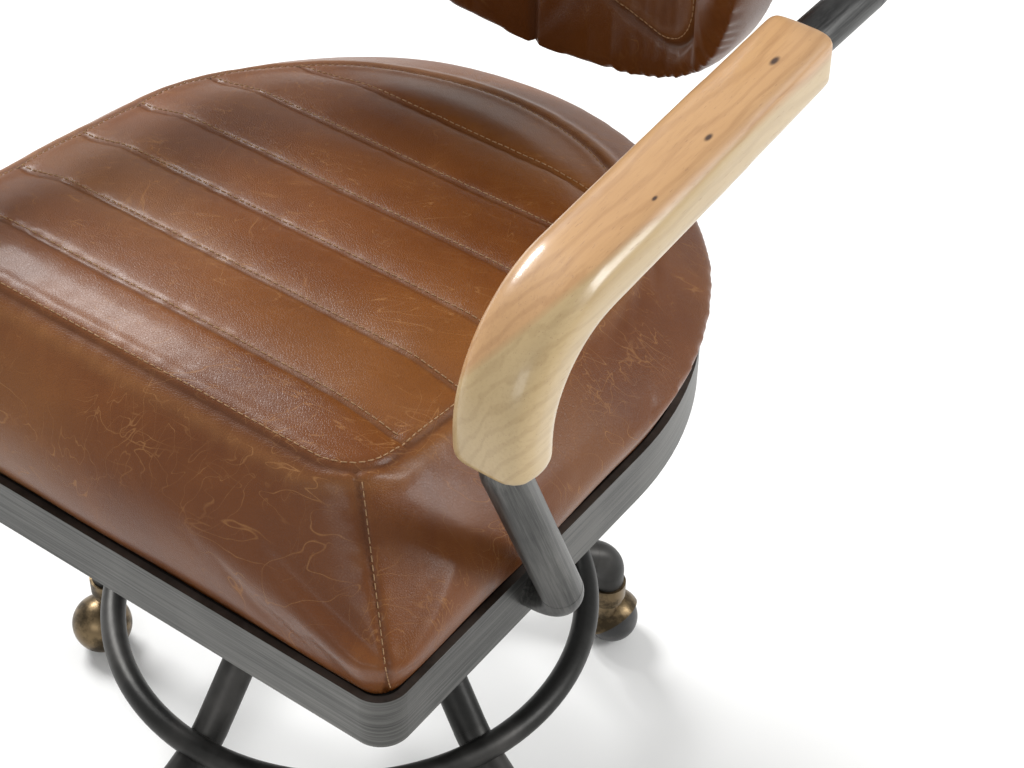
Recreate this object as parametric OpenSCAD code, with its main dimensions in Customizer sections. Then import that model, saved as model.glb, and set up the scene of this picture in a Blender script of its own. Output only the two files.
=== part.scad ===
// Swivel desk chair: leather seat on a flat metal band, wooden arms on a bent tube that carries a
// curved padded back, five tube legs with a foot ring, ball casters and a gas lift column.
// Millimetres, +Z up, front of the seat towards -Y, sitter's left towards +X.
// The origin is on the floor, in the middle of the chair's width and depth; the column stands
// middle_y in front of it.

/* [Seat frame] */
// Outside width of the metal band
seat_width = 480; // [400:5:560]
// Outside depth of the metal band, front to back
seat_depth = 500; // [440:5:560]
// Height of the band's lower edge above the floor
frame_height = 366; // [340:2:420]
// Height of the band itself
band_height = 40; // [30:1:50]
// Thickness of the band's metal
band_thickness = 5; // [3:0.5:6]

/* [Seat cushion] */
// Height of the cushion's front seam above the seat board
cushion_front = 121; // [100:1:140]
// Height of the cushion's rear seam above the seat board
cushion_rear = 62; // [45:1:75]
// How far the top panel's seam lies inside the band, each side
seam_inset = 52; // [30:1:70]

/* [Arms and back tube] */
// Outside diameter of the arm tube
arm_tube = 27; // [20:1:30]
// Wall of every tube
tube_wall = 2; // [1.5:0.5:3]
// Height of the arm tube behind the wooden arm, above the band's lower edge
arm_rise = 302; // [280:1:330]
// Height of the wooden arm's foot above the band's lower edge
arm_foot = 201.5; // [185:0.5:215]
// Width of the wooden arm at its front
arm_width = 52; // [44:1:60]
// Height of the wooden arm at its front
arm_thickness = 40; // [36:1:48]

/* [Backrest] */
// Width of the padded back
back_width = 444; // [380:2:450]
// Height of the back's top edge above the band's lower edge
back_top = 469; // [450:1:520]
// Height of the back's lowest point above the band's lower edge
back_bottom = 133; // [125:1:155]
// Thickness of the back's padding
back_padding = 38; // [25:1:45]

/* [Base] */
// Outside diameter of the leg tubes
leg_tube = 25; // [20:1:28]
// Outside diameter of the foot ring's tube
ring_tube = 19; // [14:1:22]
// Radius of the foot ring's centre line
ring_radius = 178; // [165:1:190]
// Height of the foot ring's centre above the floor
ring_height = 125; // [115:1:135]
// Radius of the circle the casters stand on
caster_circle = 208; // [200:1:240]
// Diameter of a caster's ball
ball_diameter = 42; // [38:1:48]

/* [Hidden] */
$fn = 96;
running_gap = 0.05;
seated_gap = 0.02;
bend_swell = 0.1;
bend_lap = 1;
colour_frame = [0.29, 0.29, 0.28];
colour_base = [0.13, 0.13, 0.12];
colour_leather = [0.50, 0.25, 0.11];
colour_wood = [0.80, 0.62, 0.40];
colour_brass = [0.48, 0.37, 0.22];
colour_black = [0.05, 0.05, 0.05];
colour_steel = [0.62, 0.62, 0.63];

// seat frame, board and cushion
half_seat = seat_width / 2;
arc_centre = 12;
seat_front = arc_centre + half_seat - seat_depth;
corner_radius = 20;
frame_top = frame_height + band_height;
board_thickness = 10;
board_recess = 6;
board_gap = 1;
board_top = frame_top - board_recess;
board_under = board_top - board_thickness;
cushion_inset = 9;
bulge_out = 6;
bulge_height = 38;
crown_height = 12;
crown_inset = 45;
slab = 1;
seam_inset_front = 46;
front_seam_y = seat_front + seam_inset_front;
rear_seam_y = arc_centre + half_seat - seam_inset + 6;
seam_half = half_seat - seam_inset;
top_tilt = atan2(cushion_rear - cushion_front, rear_seam_y - front_seam_y);

// cross bars, swivel plate and its bolts
bar_width = 30;
bar_height = 20;
bar_wall = 2;
bar_y = 85;
bar_under = board_under - bar_height;
plate_size = 210;
plate_thickness = 4;
plate_under = bar_under - plate_thickness;
plate_corner = 15;
bolt_x = 70;
bolt_radius = 4;
bolt_hole = 4.2;
bolt_head = 7;
bolt_head_height = 5;
screw_x = 150;
screw_radius = 2.2;
screw_hole = 2.6;
screw_head = 4.5;
screw_depth = 8;
socket_radius = 24;
socket_length = 24;

// gas lift column
lift_radius = 14;
lift_bore = 11;
lift_end = 6;
lift_bottom = frame_height - 196;
lift_top = plate_under;
lift_roof = 36;
outer_radius = 25;
outer_bore = 23.5;
outer_bottom = 88;
outer_top = 306;
bush_bottom = 236;
flange = 4;
rod_radius = 5;
rod_shoulder = 8;
rod_bottom = outer_bottom - 7;
stroke_up = 50;
piston_bottom = lift_bottom + lift_end + stroke_up + 6;
piston_height = 12;
cap_height = 6;
washer_height = 3;
clip_height = 2;
button_radius = 4;
button_length = 12;
button_proud = 4.5;
hub_radius = 30;
hub_bottom = 228;
hub_top = 300;

// height lever
lever_pivot_x = -26;
lever_rod = 4;
lever_pin_radius = 2.5;
lever_eye = 6;
lever_width = 9;
lever_gap = 0.3;
ear_thickness = 3;
ear_gap = 0.5;
ear_width = 14;
lever_pivot_z = lift_top + button_proud + lever_gap + lever_eye;
lever_out = -118;
lever_drop = 46;
lever_end = -232;
lever_bend = 12;
knob_radius = 7;
knob_length = 44;

// arms and the tube round the back
arm_radius = arm_tube / 2;
post_bend = 26;
post_x = half_seat + post_bend;
post_y = -104;
post_lean = 21.9;
post_z = frame_height + band_height / 2;
neck_bend = 40;
post_insert = 30;
hoop_insert = 48;
arm_rear_y = 118;
arm_tilt = 4;
arm_bend = 68;
arm_z = frame_height + arm_rise;
wood_corner = 15;
wood_rear_width = 43;
hoop_straight = 190;
hoop_corner = 70;
hoop_rear = 295;
hoop_side = post_x - hoop_corner;
hoop_offset = hoop_rear - hoop_straight;
hoop_arc = (hoop_side * hoop_side + hoop_offset * hoop_offset - hoop_corner * hoop_corner)
    / (2 * (hoop_offset - hoop_corner));
hoop_centre = hoop_rear - hoop_arc;
hoop_angle = atan2(hoop_straight - hoop_centre, hoop_side);
hoop_lap = 0.1;

// backrest
back_radius = 300;
back_face = 225;
back_centre = back_face - back_radius;
shell_thickness = 8;
shell_inset = 8;
back_corner = 90;
half_back = back_width / 2;
pad_outer = back_radius + back_padding;
shell_outer = pad_outer + shell_thickness;
standoff_x = 95;
standoff_radius = 11;
back_bolt_radius = 4;
back_bolt_head = 9;
back_bolt_dome = 4;
back_bolt_hole = 4.2;
back_bolt_bite = 1.5;
back_bolt_gap = 0.3;
fixing_reach = 60;

// legs, ring, ferrules and casters
leg_radius = leg_tube / 2;
leg_count = 5;
leg_step = 360 / leg_count;
leg_first = -90;
leg_hub = [16, 281];
leg_knee = [164, 118];
leg_ankle = [caster_circle, 100];
leg_end = 60;
knee_bend = 50;
ankle_bend = 24;
ring_radius_tube = ring_tube / 2;
vent_radius = 1.5;
ferrule_radius = 14.5;
ferrule_low = 52;
ferrule_high = 72;
ferrule_foot = 12.5;
stem_radius = 4;
stem_low = 36;
stem_floor = 0.5;
stem_high = 84;
ball_radius = ball_diameter / 2;
hood_radius = ball_radius + 3;
hood_inner = ball_radius - 0.5;
hood_boss = 9;
boss_top = 51;
trail = 10;
ball_tilt = 40;
caster_turn = 40;
rim_gap = 0.6;
axle_radius = 3;
axle_out = 12;
boss_radius = 6.5;

middle_y = (seat_front - bulge_out + hoop_rear + arm_radius) / 2;

// ---- shared shapes ----

// Moves the chair from the column's axis to the middle of its depth
module placed() {
    translate([0, -middle_y, 0]) children();
}

// Horseshoe outline of the seat, drawn the given distance inside the band's outside
module seat_outline(inset, rounding = corner_radius) {
    corner = max(rounding - inset, 6);
    half = half_seat - inset;
    front = seat_front + inset;
    translate([0, arc_centre]) circle(half);
    translate([-half, front + corner]) square([2 * half, arc_centre - front - corner]);
    translate([-half + corner, front]) square([2 * (half - corner), corner + 1]);
    for (side = [-1, 1]) {
        translate([side * (half - corner), front + corner]) circle(corner);
    }
}

// Round bar along a line from a to b, solid where the hole is 0
module bar(a, b, radius, hole = 0) {
    run = b - a;
    length = norm(run);
    translate(a)
        rotate([0, acos(run[2] / length), atan2(run[1], run[0])])
            linear_extrude(length) tube_section(radius, hole);
}

// Piece of a ring in the x-y plane: centre line radius, start angle, sweep, tube radius and hole
module ring_piece(centre_radius, start, sweep, radius, hole = 0) {
    rotate([0, 0, start])
        rotate_extrude(angle = sweep)
            translate([centre_radius, 0]) tube_section(radius, hole);
}

// A bend between straight tubes that reach bend_lap into it: its wall is a hair thicker
module bend_piece(centre_radius, start, sweep, radius, hole = 0) {
    ring_piece(centre_radius, start, sweep, radius + bend_swell, max(hole - bend_swell, 0));
}

module tube_section(radius, hole) {
    difference() {
        circle(radius);
        if (hole > 0) circle(hole);
    }
}

// ---- seat ----

module seat_frame() {
    color(colour_frame) placed()
        translate([0, 0, frame_height])
            linear_extrude(band_height)
                difference() {
                    seat_outline(0);
                    seat_outline(band_thickness);
                }
}

module cross_bar(y) {
    color(colour_frame) placed()
        difference() {
            intersection() {
                translate([-half_seat, y - bar_width / 2, bar_under])
                    cube([seat_width, bar_width, bar_height]);
                translate([0, 0, bar_under])
                    linear_extrude(bar_height) seat_outline(band_thickness);
            }
            translate([-half_seat, y - bar_width / 2 + bar_wall, bar_under + bar_wall])
                cube([seat_width, bar_width - 2 * bar_wall, bar_height - 2 * bar_wall]);
            for (side = [-1, 1]) {
                translate([side * bolt_x, y, bar_under - 1])
                    cylinder(r = bolt_hole, h = bar_wall + 2);
                translate([side * screw_x, y, bar_under - 1])
                    cylinder(r = screw_hole, h = bar_height + 2);
            }
        }
}

module seat_board() {
    color(colour_black) placed()
        difference() {
            translate([0, 0, board_under])
                linear_extrude(board_thickness) seat_outline(band_thickness + board_gap);
            for (side = [-1, 1], y = [-bar_y, bar_y]) {
                translate([side * screw_x, y, board_under - 1])
                    cylinder(r = screw_radius, h = screw_depth + 1);
            }
        }
}

module seat_screws() {
    color(colour_steel) placed()
        for (side = [-1, 1], y = [-bar_y, bar_y]) {
            translate([side * screw_x, y, bar_under]) {
                cylinder(r = screw_radius, h = bar_height + screw_depth);
                translate([0, 0, -2]) cylinder(r = screw_head, h = 2);
            }
        }
}

module seat_cushion() {
    base = board_top;
    color(colour_leather) placed()
        hull() {
            translate([0, 0, base])
                linear_extrude(slab) seat_outline(cushion_inset);
            translate([0, 0, base + bulge_height - slab])
                linear_extrude(slab) seat_outline(-bulge_out, 26);
            translate([0, front_seam_y, base + cushion_front - slab])
                rotate([top_tilt, 0, 0])
                    linear_extrude(slab) top_outline(0);
            translate([0, front_seam_y, base + cushion_front + crown_height - slab])
                rotate([top_tilt, 0, 0])
                    linear_extrude(slab) top_outline(crown_inset);
        }
}

// Outline of the cushion's top panel, its front edge on y = 0 when the inset is 0
module top_outline(inset) {
    half = seam_half - inset;
    run = (rear_seam_y - front_seam_y) / cos(top_tilt);
    corner = 30;
    translate([0, run - seam_half]) circle(half, $fn = 64);
    for (side = [-1, 1]) {
        translate([side * (half - corner), inset + corner]) circle(corner, $fn = 32);
    }
}

// ---- plate, lever and column ----

module swivel_plate() {
    flat = plate_size / 2 - plate_corner;
    socket_bottom = plate_under - socket_length;
    ear_foot = plate_under + 1;
    ear_height = lever_pivot_z + lever_eye - ear_foot;
    color(colour_black) placed()
        difference() {
            union() {
                translate([0, 0, plate_under])
                    linear_extrude(plate_thickness)
                        union() {
                            square([plate_size, 2 * flat], center = true);
                            square([2 * flat, plate_size], center = true);
                            for (x = [-flat, flat], y = [-flat, flat]) {
                                translate([x, y]) circle(plate_corner);
                            }
                        }
                translate([0, 0, socket_bottom])
                    cylinder(r = socket_radius, h = socket_length + plate_thickness);
                for (side = [-1, 1]) {
                    ear_middle = side * (lever_width / 2 + ear_gap + ear_thickness / 2);
                    translate([lever_pivot_x, ear_middle, ear_foot + ear_height / 2])
                        cube([ear_width, ear_thickness, ear_height], center = true);
                }
            }
            translate([0, 0, socket_bottom - 1])
                cylinder(r = lift_radius + seated_gap, h = socket_length + plate_thickness + 2);
            translate([-socket_radius - 1, -lever_width / 2 - lever_gap, lift_top])
                cube([socket_radius + 1, lever_width + 2 * lever_gap, plate_thickness + 1]);
            translate([lever_pivot_x, -lever_width, lever_pivot_z])
                rotate([-90, 0, 0]) cylinder(r = lever_pin_radius, h = 2 * lever_width);
            for (side = [-1, 1], y = [-bar_y, bar_y]) {
                translate([side * bolt_x, y, plate_under - 1])
                    cylinder(r = bolt_hole, h = plate_thickness + 2);
            }
        }
}

module plate_bolts() {
    color(colour_steel) placed()
        for (side = [-1, 1], y = [-bar_y, bar_y]) {
            translate([side * bolt_x, y, plate_under]) {
                cylinder(r = bolt_radius, h = plate_thickness + bar_wall + 8);
                translate([0, 0, -bolt_head_height])
                    cylinder(r = bolt_head, h = bolt_head_height, $fn = 6);
            }
        }
}

module height_lever() {
    low = lever_pivot_z - lever_drop;
    color(colour_steel) placed()
        difference() {
            union() {
                translate([lever_pivot_x, -lever_width / 2, lever_pivot_z])
                    rotate([-90, 0, 0]) cylinder(r = lever_eye, h = lever_width);
                translate([lever_pivot_x, -lever_width / 2, lever_pivot_z - lever_eye])
                    cube([-lever_pivot_x + button_radius, lever_width, 5]);
                bar([lever_pivot_x - 3, 0, lever_pivot_z],
                    [lever_out + lever_bend - bend_lap, 0, lever_pivot_z], lever_rod);
                translate([lever_out + lever_bend, 0, lever_pivot_z - lever_bend])
                    rotate([90, 0, 0]) bend_piece(lever_bend, 90, 90, lever_rod);
                bar([lever_out, 0, low + lever_bend - bend_lap],
                    [lever_out, 0, lever_pivot_z - lever_bend + bend_lap], lever_rod);
                translate([lever_out - lever_bend, 0, low + lever_bend])
                    rotate([90, 0, 0]) bend_piece(lever_bend, 270, 90, lever_rod);
                bar([lever_end, 0, low], [lever_out - lever_bend + bend_lap, 0, low], lever_rod);
            }
            translate([lever_pivot_x, -lever_width, lever_pivot_z])
                rotate([-90, 0, 0])
                    cylinder(r = lever_pin_radius + running_gap, h = 2 * lever_width);
        }
}

module lever_knob() {
    low = lever_pivot_z - lever_drop;
    grip = lever_end - 14;
    color(colour_black) placed()
        difference() {
            union() {
                bar([grip, 0, low], [grip + knob_length, 0, low], knob_radius);
                translate([grip, 0, low]) sphere(knob_radius);
            }
            bar([lever_end, 0, low], [grip + knob_length + 1, 0, low], lever_rod);
        }
}

module lever_pin() {
    reach = lever_width / 2 + ear_gap + ear_thickness;
    color(colour_steel) placed()
        translate([lever_pivot_x, -reach, lever_pivot_z])
            rotate([-90, 0, 0]) cylinder(r = lever_pin_radius, h = 2 * reach);
}

module gas_cylinder() {
    color(colour_black) placed()
        difference() {
            translate([0, 0, lift_bottom])
                cylinder(r = lift_radius, h = lift_top - lift_bottom);
            translate([0, 0, lift_bottom + lift_end])
                cylinder(r = lift_bore, h = lift_top - lift_bottom - lift_end - lift_roof);
            translate([0, 0, lift_bottom - 1])
                cylinder(r = rod_radius + running_gap, h = lift_end + 2);
            translate([0, 0, lift_top - button_length])
                cylinder(r = button_radius + running_gap, h = button_length + 1);
        }
}

module valve_button() {
    color(colour_brass) placed()
        translate([0, 0, lift_top - button_length + 4])
            cylinder(r = button_radius, h = button_length - 4 + button_proud);
}

module piston_rod() {
    shoulder = outer_bottom + cap_height + washer_height;
    color(colour_steel) placed() {
        translate([0, 0, rod_bottom]) cylinder(r = rod_radius, h = piston_bottom - rod_bottom);
        translate([0, 0, shoulder]) cylinder(r = rod_shoulder, h = 4);
        translate([0, 0, piston_bottom])
            cylinder(r = lift_bore - running_gap, h = piston_height);
    }
}

module thrust_washer() {
    color(colour_brass) placed()
        translate([0, 0, outer_bottom + cap_height])
            difference() {
                cylinder(r = 12, h = washer_height - running_gap);
                translate([0, 0, -1]) cylinder(r = rod_radius + running_gap, h = washer_height + 2);
            }
}

module retaining_clip() {
    color(colour_steel) placed()
        translate([0, 0, outer_bottom - clip_height - 0.5])
            difference() {
                cylinder(r = 9, h = clip_height);
                translate([0, 0, -1]) cylinder(r = rod_radius, h = clip_height + 2);
                translate([0, -2.5, -1]) cube([10, 5, clip_height + 2]);
            }
}

module outer_tube() {
    color(colour_base) placed()
        difference() {
            translate([0, 0, outer_bottom])
                cylinder(r = outer_radius, h = outer_top - outer_bottom);
            translate([0, 0, outer_bottom + cap_height])
                cylinder(r = outer_bore, h = outer_top - outer_bottom);
            translate([0, 0, outer_bottom - 1])
                cylinder(r = rod_radius + running_gap, h = cap_height + 2);
        }
}

module guide_bush() {
    color(colour_black) placed()
        difference() {
            union() {
                translate([0, 0, bush_bottom])
                    cylinder(r = outer_bore, h = outer_top - bush_bottom);
                translate([0, 0, outer_top]) cylinder(r = outer_radius, h = flange);
            }
            translate([0, 0, bush_bottom - 1])
                cylinder(r = lift_radius + running_gap, h = outer_top - bush_bottom + flange + 2);
        }
}

// ---- base ----

module hub() {
    color(colour_base) placed()
        translate([0, 0, hub_bottom])
            difference() {
                cylinder(r = hub_radius, h = hub_top - hub_bottom);
                translate([0, 0, -1])
                    cylinder(r = outer_radius + seated_gap, h = hub_top - hub_bottom + 2);
            }
}

function heading(a, b) = atan2(b[1] - a[1], b[0] - a[0]);
function unit(angle) = [cos(angle), sin(angle)];
function upright(p) = [p[0], 0, p[1]];

// Tube of one leg in the x-z plane, pointing along +x
module leg_path(radius, hole) {
    slope = heading(leg_hub, leg_knee);
    shin = heading(leg_knee, leg_ankle);
    knee_turn = shin - slope;
    ankle_turn = shin + 90;
    knee_cut = knee_bend * tan(knee_turn / 2);
    ankle_cut = ankle_bend * tan(ankle_turn / 2);
    knee_in = leg_knee - knee_cut * unit(slope);
    knee_out = leg_knee + knee_cut * unit(shin);
    ankle_in = leg_ankle - ankle_cut * unit(shin);
    ankle_out = leg_ankle - [0, ankle_cut];
    bar(upright(leg_hub), upright(knee_in + bend_lap * unit(slope)), radius, hole);
    translate(upright(knee_in + knee_bend * unit(slope + 90)))
        rotate([90, 0, 0]) bend_piece(knee_bend, slope - 90, knee_turn, radius, hole);
    bar(upright(knee_out - bend_lap * unit(shin)), upright(ankle_in + bend_lap * unit(shin)),
        radius, hole);
    translate(upright(ankle_in + ankle_bend * unit(shin - 90)))
        rotate([90, 0, 0]) bend_piece(ankle_bend, 0, ankle_turn, radius, hole);
    bar([leg_ankle[0], 0, leg_end], upright(ankle_out + [0, bend_lap]), radius, hole);
}

module leg(index) {
    color(colour_base) placed()
        difference() {
            rotate([0, 0, leg_first + index * leg_step])
                leg_path(leg_radius, leg_radius - tube_wall);
            translate([0, 0, hub_bottom - 20]) cylinder(r = hub_radius, h = 140);
            ring_core(ring_radius_tube);
        }
}

module ring_core(radius) {
    translate([0, 0, ring_height])
        rotate_extrude()
            translate([ring_radius, 0]) circle(radius);
}

module foot_ring() {
    color(colour_base) placed()
        difference() {
            ring_core(ring_radius_tube);
            ring_core(ring_radius_tube - tube_wall);
            rotate([0, 0, leg_first])
                translate([ring_radius - ring_tube, 0, ring_height])
                    rotate([0, 90, 0]) cylinder(r = vent_radius, h = ring_tube);
        }
}

// Places its children at each caster's stem, x pointing away from the column
module at_casters() {
    for (index = [0 : leg_count - 1]) {
        rotate([0, 0, leg_first + index * leg_step])
            translate([caster_circle, 0, 0]) children();
    }
}

module leg_ferrules() {
    color(colour_brass) placed()
        at_casters()
            difference() {
                union() {
                    translate([0, 0, leg_end - 2])
                        cylinder(r = ferrule_radius, h = ferrule_high - leg_end + 2);
                    translate([0, 0, ferrule_low])
                        cylinder(r = ferrule_foot, h = leg_end - ferrule_low);
                }
                translate([0, 0, leg_end])
                    cylinder(r = leg_radius + seated_gap, h = ferrule_high);
                translate([0, 0, ferrule_low - 1])
                    cylinder(r = stem_radius + seated_gap, h = ferrule_high);
            }
}

module caster_stems() {
    color(colour_steel) placed()
        at_casters()
            union() {
                translate([0, 0, stem_low])
                    cylinder(r = stem_radius, h = stem_high - stem_low);
                translate([0, 0, leg_end + 2])
                    cylinder(r = leg_radius - tube_wall - seated_gap, h = 4);
            }
}

// Moves its children to the middle of one caster's ball, with z along the wheel's axle
module at_ball(index) {
    rotate([0, 0, leg_first + index * leg_step])
        translate([caster_circle, 0, 0])
            rotate([0, 0, caster_turn])
                translate([trail, 0, ball_radius])
                    rotate([-ball_tilt, 0, 0]) children();
}

module caster_hood(index) {
    color(colour_brass) placed()
        difference() {
            union() {
                at_ball(index) {
                    difference() {
                        sphere(hood_radius);
                        sphere(hood_inner);
                        translate([0, 0, -hood_radius - 1]) cylinder(r = 30, h = hood_radius + 1);
                    }
                    translate([0, 0, rim_gap]) cylinder(r = boss_radius, h = ball_radius);
                }
                rotate([0, 0, leg_first + index * leg_step])
                    translate([caster_circle, 0, stem_low - 2])
                        cylinder(r = hood_boss, h = boss_top - stem_low + 2);
            }
            rotate([0, 0, leg_first + index * leg_step])
                translate([caster_circle, 0, stem_low - stem_floor])
                    cylinder(r = stem_radius + running_gap, h = boss_top);
            at_ball(index)
                translate([0, 0, -1]) cylinder(r = axle_radius, h = axle_out + 1);
        }
}

module caster_axle(index) {
    color(colour_steel) placed()
        at_ball(index)
            translate([0, 0, -axle_out]) cylinder(r = axle_radius, h = 2 * axle_out);
}

module caster_wheel(index) {
    color(colour_black) placed()
        at_ball(index)
            difference() {
                sphere(ball_radius);
                translate([0, 0, -rim_gap]) cylinder(r = 30, h = 30);
                translate([0, 0, -axle_out - 1])
                    cylinder(r = axle_radius + running_gap, h = axle_out + 2);
            }
}

// ---- arms and back ----

lean = [0, -sin(post_lean), cos(post_lean)];
post_start = [post_x, post_y, post_z] + post_bend * lean;
foot_z = frame_height + arm_foot;
neck_end_z = foot_z - 1;
neck_start_z = neck_end_z - neck_bend * sin(post_lean);
neck_start = [post_x, post_y - (neck_start_z - post_z) * tan(post_lean), neck_start_z];
drop_y = neck_start[1] - neck_bend * (1 - cos(post_lean));
wood_foot = [post_x, drop_y, foot_z];

module arm_post() {
    hole = arm_radius - tube_wall;
    color(colour_frame) placed() {
        translate([half_seat, post_y, post_z] + post_bend * lean)
            rotate([90 + post_lean, 0, 0])
                bend_piece(post_bend, -90, 90, arm_radius, hole);
        bar(post_start - bend_lap * lean, neck_start + bend_lap * lean, arm_radius, hole);
        translate([post_x, drop_y + neck_bend, neck_end_z])
            rotate([90, 0, 90]) bend_piece(neck_bend, 180, post_lean, arm_radius, hole);
        bar(wood_foot - [0, 0, 1 + bend_lap], wood_foot + [0, 0, post_insert], arm_radius, hole);
    }
}

// Rounded section of the wooden arm, its width along x
module arm_section(swell = 0) {
    flat = arm_width / 2 - wood_corner;
    rise = arm_thickness / 2 - wood_corner;
    square([arm_width + 2 * swell, 2 * rise], center = true);
    square([2 * flat, arm_thickness + 2 * swell], center = true);
    for (x = [-flat, flat], y = [-rise, rise]) {
        translate([x, y]) circle(wood_corner + swell);
    }
}

corner_z = arm_z + (drop_y - arm_rear_y) * tan(arm_tilt);
arm_turn = 90 - arm_tilt;
arm_cut = arm_bend * tan(arm_turn / 2);
bend_top = [post_x, drop_y + arm_cut * cos(arm_tilt), corner_z + arm_cut * sin(arm_tilt)];
arm_along = [0, cos(arm_tilt), sin(arm_tilt)];
bend_centre = bend_top + arm_bend * [0, sin(arm_tilt), -cos(arm_tilt)];

module wood_arm() {
    color(colour_wood) placed()
        difference() {
            intersection() {
                union() {
                    translate(bend_top - bend_lap * arm_along)
                        rotate([arm_tilt - 90, 0, 0])
                            linear_extrude((arm_rear_y - bend_top[1]) / cos(arm_tilt) + bend_lap)
                                arm_section();
                    translate(bend_centre)
                        rotate([0, 90, 0])
                            rotate([0, 0, 180 + arm_tilt])
                                rotate_extrude(angle = arm_turn)
                                    translate([arm_bend, 0]) rotate(90) arm_section(bend_swell);
                    translate(wood_foot)
                        linear_extrude(bend_centre[2] - foot_z + bend_lap) arm_section();
                }
                translate([post_x, 0, 0])
                    linear_extrude(2 * arm_z)
                        polygon([
                            [-arm_width / 2 - 1, -half_seat - 60],
                            [arm_width / 2 + 1, -half_seat - 60],
                            [arm_width / 2 + 1, bend_top[1]],
                            [wood_rear_width / 2, arm_rear_y + 5],
                            [-wood_rear_width / 2, arm_rear_y + 5],
                            [-arm_width / 2 - 1, bend_top[1]]
                        ]);
            }
            bar(wood_foot - [0, 0, 5], wood_foot + [0, 0, post_insert + 1], arm_radius + seated_gap);
            bar([post_x, arm_rear_y - hoop_insert - 1, arm_z], [post_x, arm_rear_y + 5, arm_z],
                arm_radius + seated_gap);
        }
}

module hoop_core(radius, hole = 0) {
    start = arm_rear_y - hoop_insert;
    translate([0, hoop_centre, arm_z])
        ring_piece(hoop_arc, hoop_angle - hoop_lap, 180 - 2 * (hoop_angle - hoop_lap), radius, hole);
    for (side = [0, 1]) {
        mirror([side, 0, 0]) {
            translate([hoop_side, hoop_straight, arm_z])
                bend_piece(hoop_corner, 0, hoop_angle, radius, hole);
            bar([post_x, start, arm_z], [post_x, hoop_straight + bend_lap, arm_z], radius, hole);
        }
    }
}

// Round bar running backwards through one of the back's two fixings
module fixing(side, start, radius, length) {
    translate([side * standoff_x, start, arm_z])
        rotate([-90, 0, 0]) cylinder(r = radius, h = length);
}

module back_hoop() {
    color(colour_frame) placed()
        difference() {
            hoop_core(arm_radius, arm_radius - tube_wall);
            for (side = [-1, 1]) {
                fixing(side, hoop_rear - fixing_reach, back_bolt_hole, 2 * fixing_reach);
            }
        }
}

// Front view of the back, the given distance inside its edge
module back_outline(inset) {
    half = half_back - inset;
    low = frame_height + back_bottom + inset;
    middle = low + half;
    high = frame_height + back_top - inset;
    corner = min(back_corner - inset, high - middle - 1);
    intersection() {
        translate([0, middle]) circle(half);
        translate([-half, low - 1]) square([2 * half, half + 1]);
    }
    translate([-half, middle]) square([2 * half, high - corner - middle]);
    translate([-half + corner, middle]) square([2 * (half - corner), high - middle]);
    for (side = [-1, 1]) {
        translate([side * (half - corner), high - corner]) circle(corner);
    }
}

// Curved slab between two radii round the back's upright axis, cut to the back's outline
module back_slab(inner, outer, inset) {
    intersection() {
        translate([0, back_centre, frame_height])
            rotate_extrude()
                translate([inner, 0]) square([outer - inner, 2 * back_top]);
        translate([0, 400, 0])
            rotate([90, 0, 0]) linear_extrude(400) back_outline(inset);
    }
}

module back_cushion() {
    color(colour_leather) placed() back_slab(back_radius, pad_outer, 0);
}

module back_shell() {
    color(colour_leather) placed()
        difference() {
            back_slab(pad_outer, shell_outer, shell_inset);
            for (side = [-1, 1]) {
                fixing(side, hoop_rear - 2 * fixing_reach, back_bolt_radius, 2 * fixing_reach);
            }
        }
}

module back_standoffs() {
    color(colour_frame) placed()
        for (side = [-1, 1]) {
            difference() {
                fixing(side, hoop_rear - fixing_reach, standoff_radius, fixing_reach);
                hoop_core(arm_radius);
                fixing(side, hoop_rear - fixing_reach - 1, back_bolt_radius, fixing_reach + 2);
                translate([0, back_centre, arm_z - standoff_radius - 1])
                    cylinder(r = shell_outer, h = 2 * standoff_radius + 2);
            }
        }
}

module back_bolts() {
    tube_rear = hoop_centre
        + sqrt(pow(hoop_arc + arm_radius, 2) - pow(standoff_x - back_bolt_head, 2));
    shell_front = back_centre + sqrt(pow(pad_outer, 2) - pow(standoff_x, 2));
    bolt_front = shell_front + back_bolt_bite;
    color(colour_steel) placed()
        for (side = [-1, 1]) {
            fixing(side, bolt_front, back_bolt_radius, tube_rear + 1 - bolt_front);
            fixing(side, tube_rear + back_bolt_gap, back_bolt_head, back_bolt_dome);
        }
}

hub();
leg(0);  // leg_1
leg(1);  // leg_2
leg(2);  // leg_3
leg(3);  // leg_4
leg(4);  // leg_5
foot_ring();
leg_ferrules();
caster_stems();
outer_tube();
guide_bush();
thrust_washer();
retaining_clip();
piston_rod();
gas_cylinder();
valve_button();
swivel_plate();
plate_bolts();
height_lever();
lever_pin();
lever_knob();
seat_frame();
cross_bar(-bar_y);  // front_cross_bar
cross_bar(bar_y);  // rear_cross_bar
seat_board();
seat_screws();
seat_cushion();
arm_post();  // left_arm_post
mirror([1, 0, 0]) arm_post();  // right_arm_post
wood_arm();  // left_wood_arm
mirror([1, 0, 0]) wood_arm();  // right_wood_arm
back_hoop();
back_standoffs();
back_bolts();
back_shell();
back_cushion();
caster_hood(0);  // caster_hood_1
caster_hood(1);  // caster_hood_2
caster_hood(2);  // caster_hood_3
caster_hood(3);  // caster_hood_4
caster_hood(4);  // caster_hood_5
caster_axle(0);  // caster_axle_1
caster_axle(1);  // caster_axle_2
caster_axle(2);  // caster_axle_3
caster_axle(3);  // caster_axle_4
caster_axle(4);  // caster_axle_5
caster_wheel(0);  // caster_wheel_1
caster_wheel(1);  // caster_wheel_2
caster_wheel(2);  // caster_wheel_3
caster_wheel(3);  // caster_wheel_4
caster_wheel(4);  // caster_wheel_5
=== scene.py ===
import math

import bpy
import numpy as np
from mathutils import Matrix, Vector
from mathutils.bvhtree import BVHTree


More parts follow.
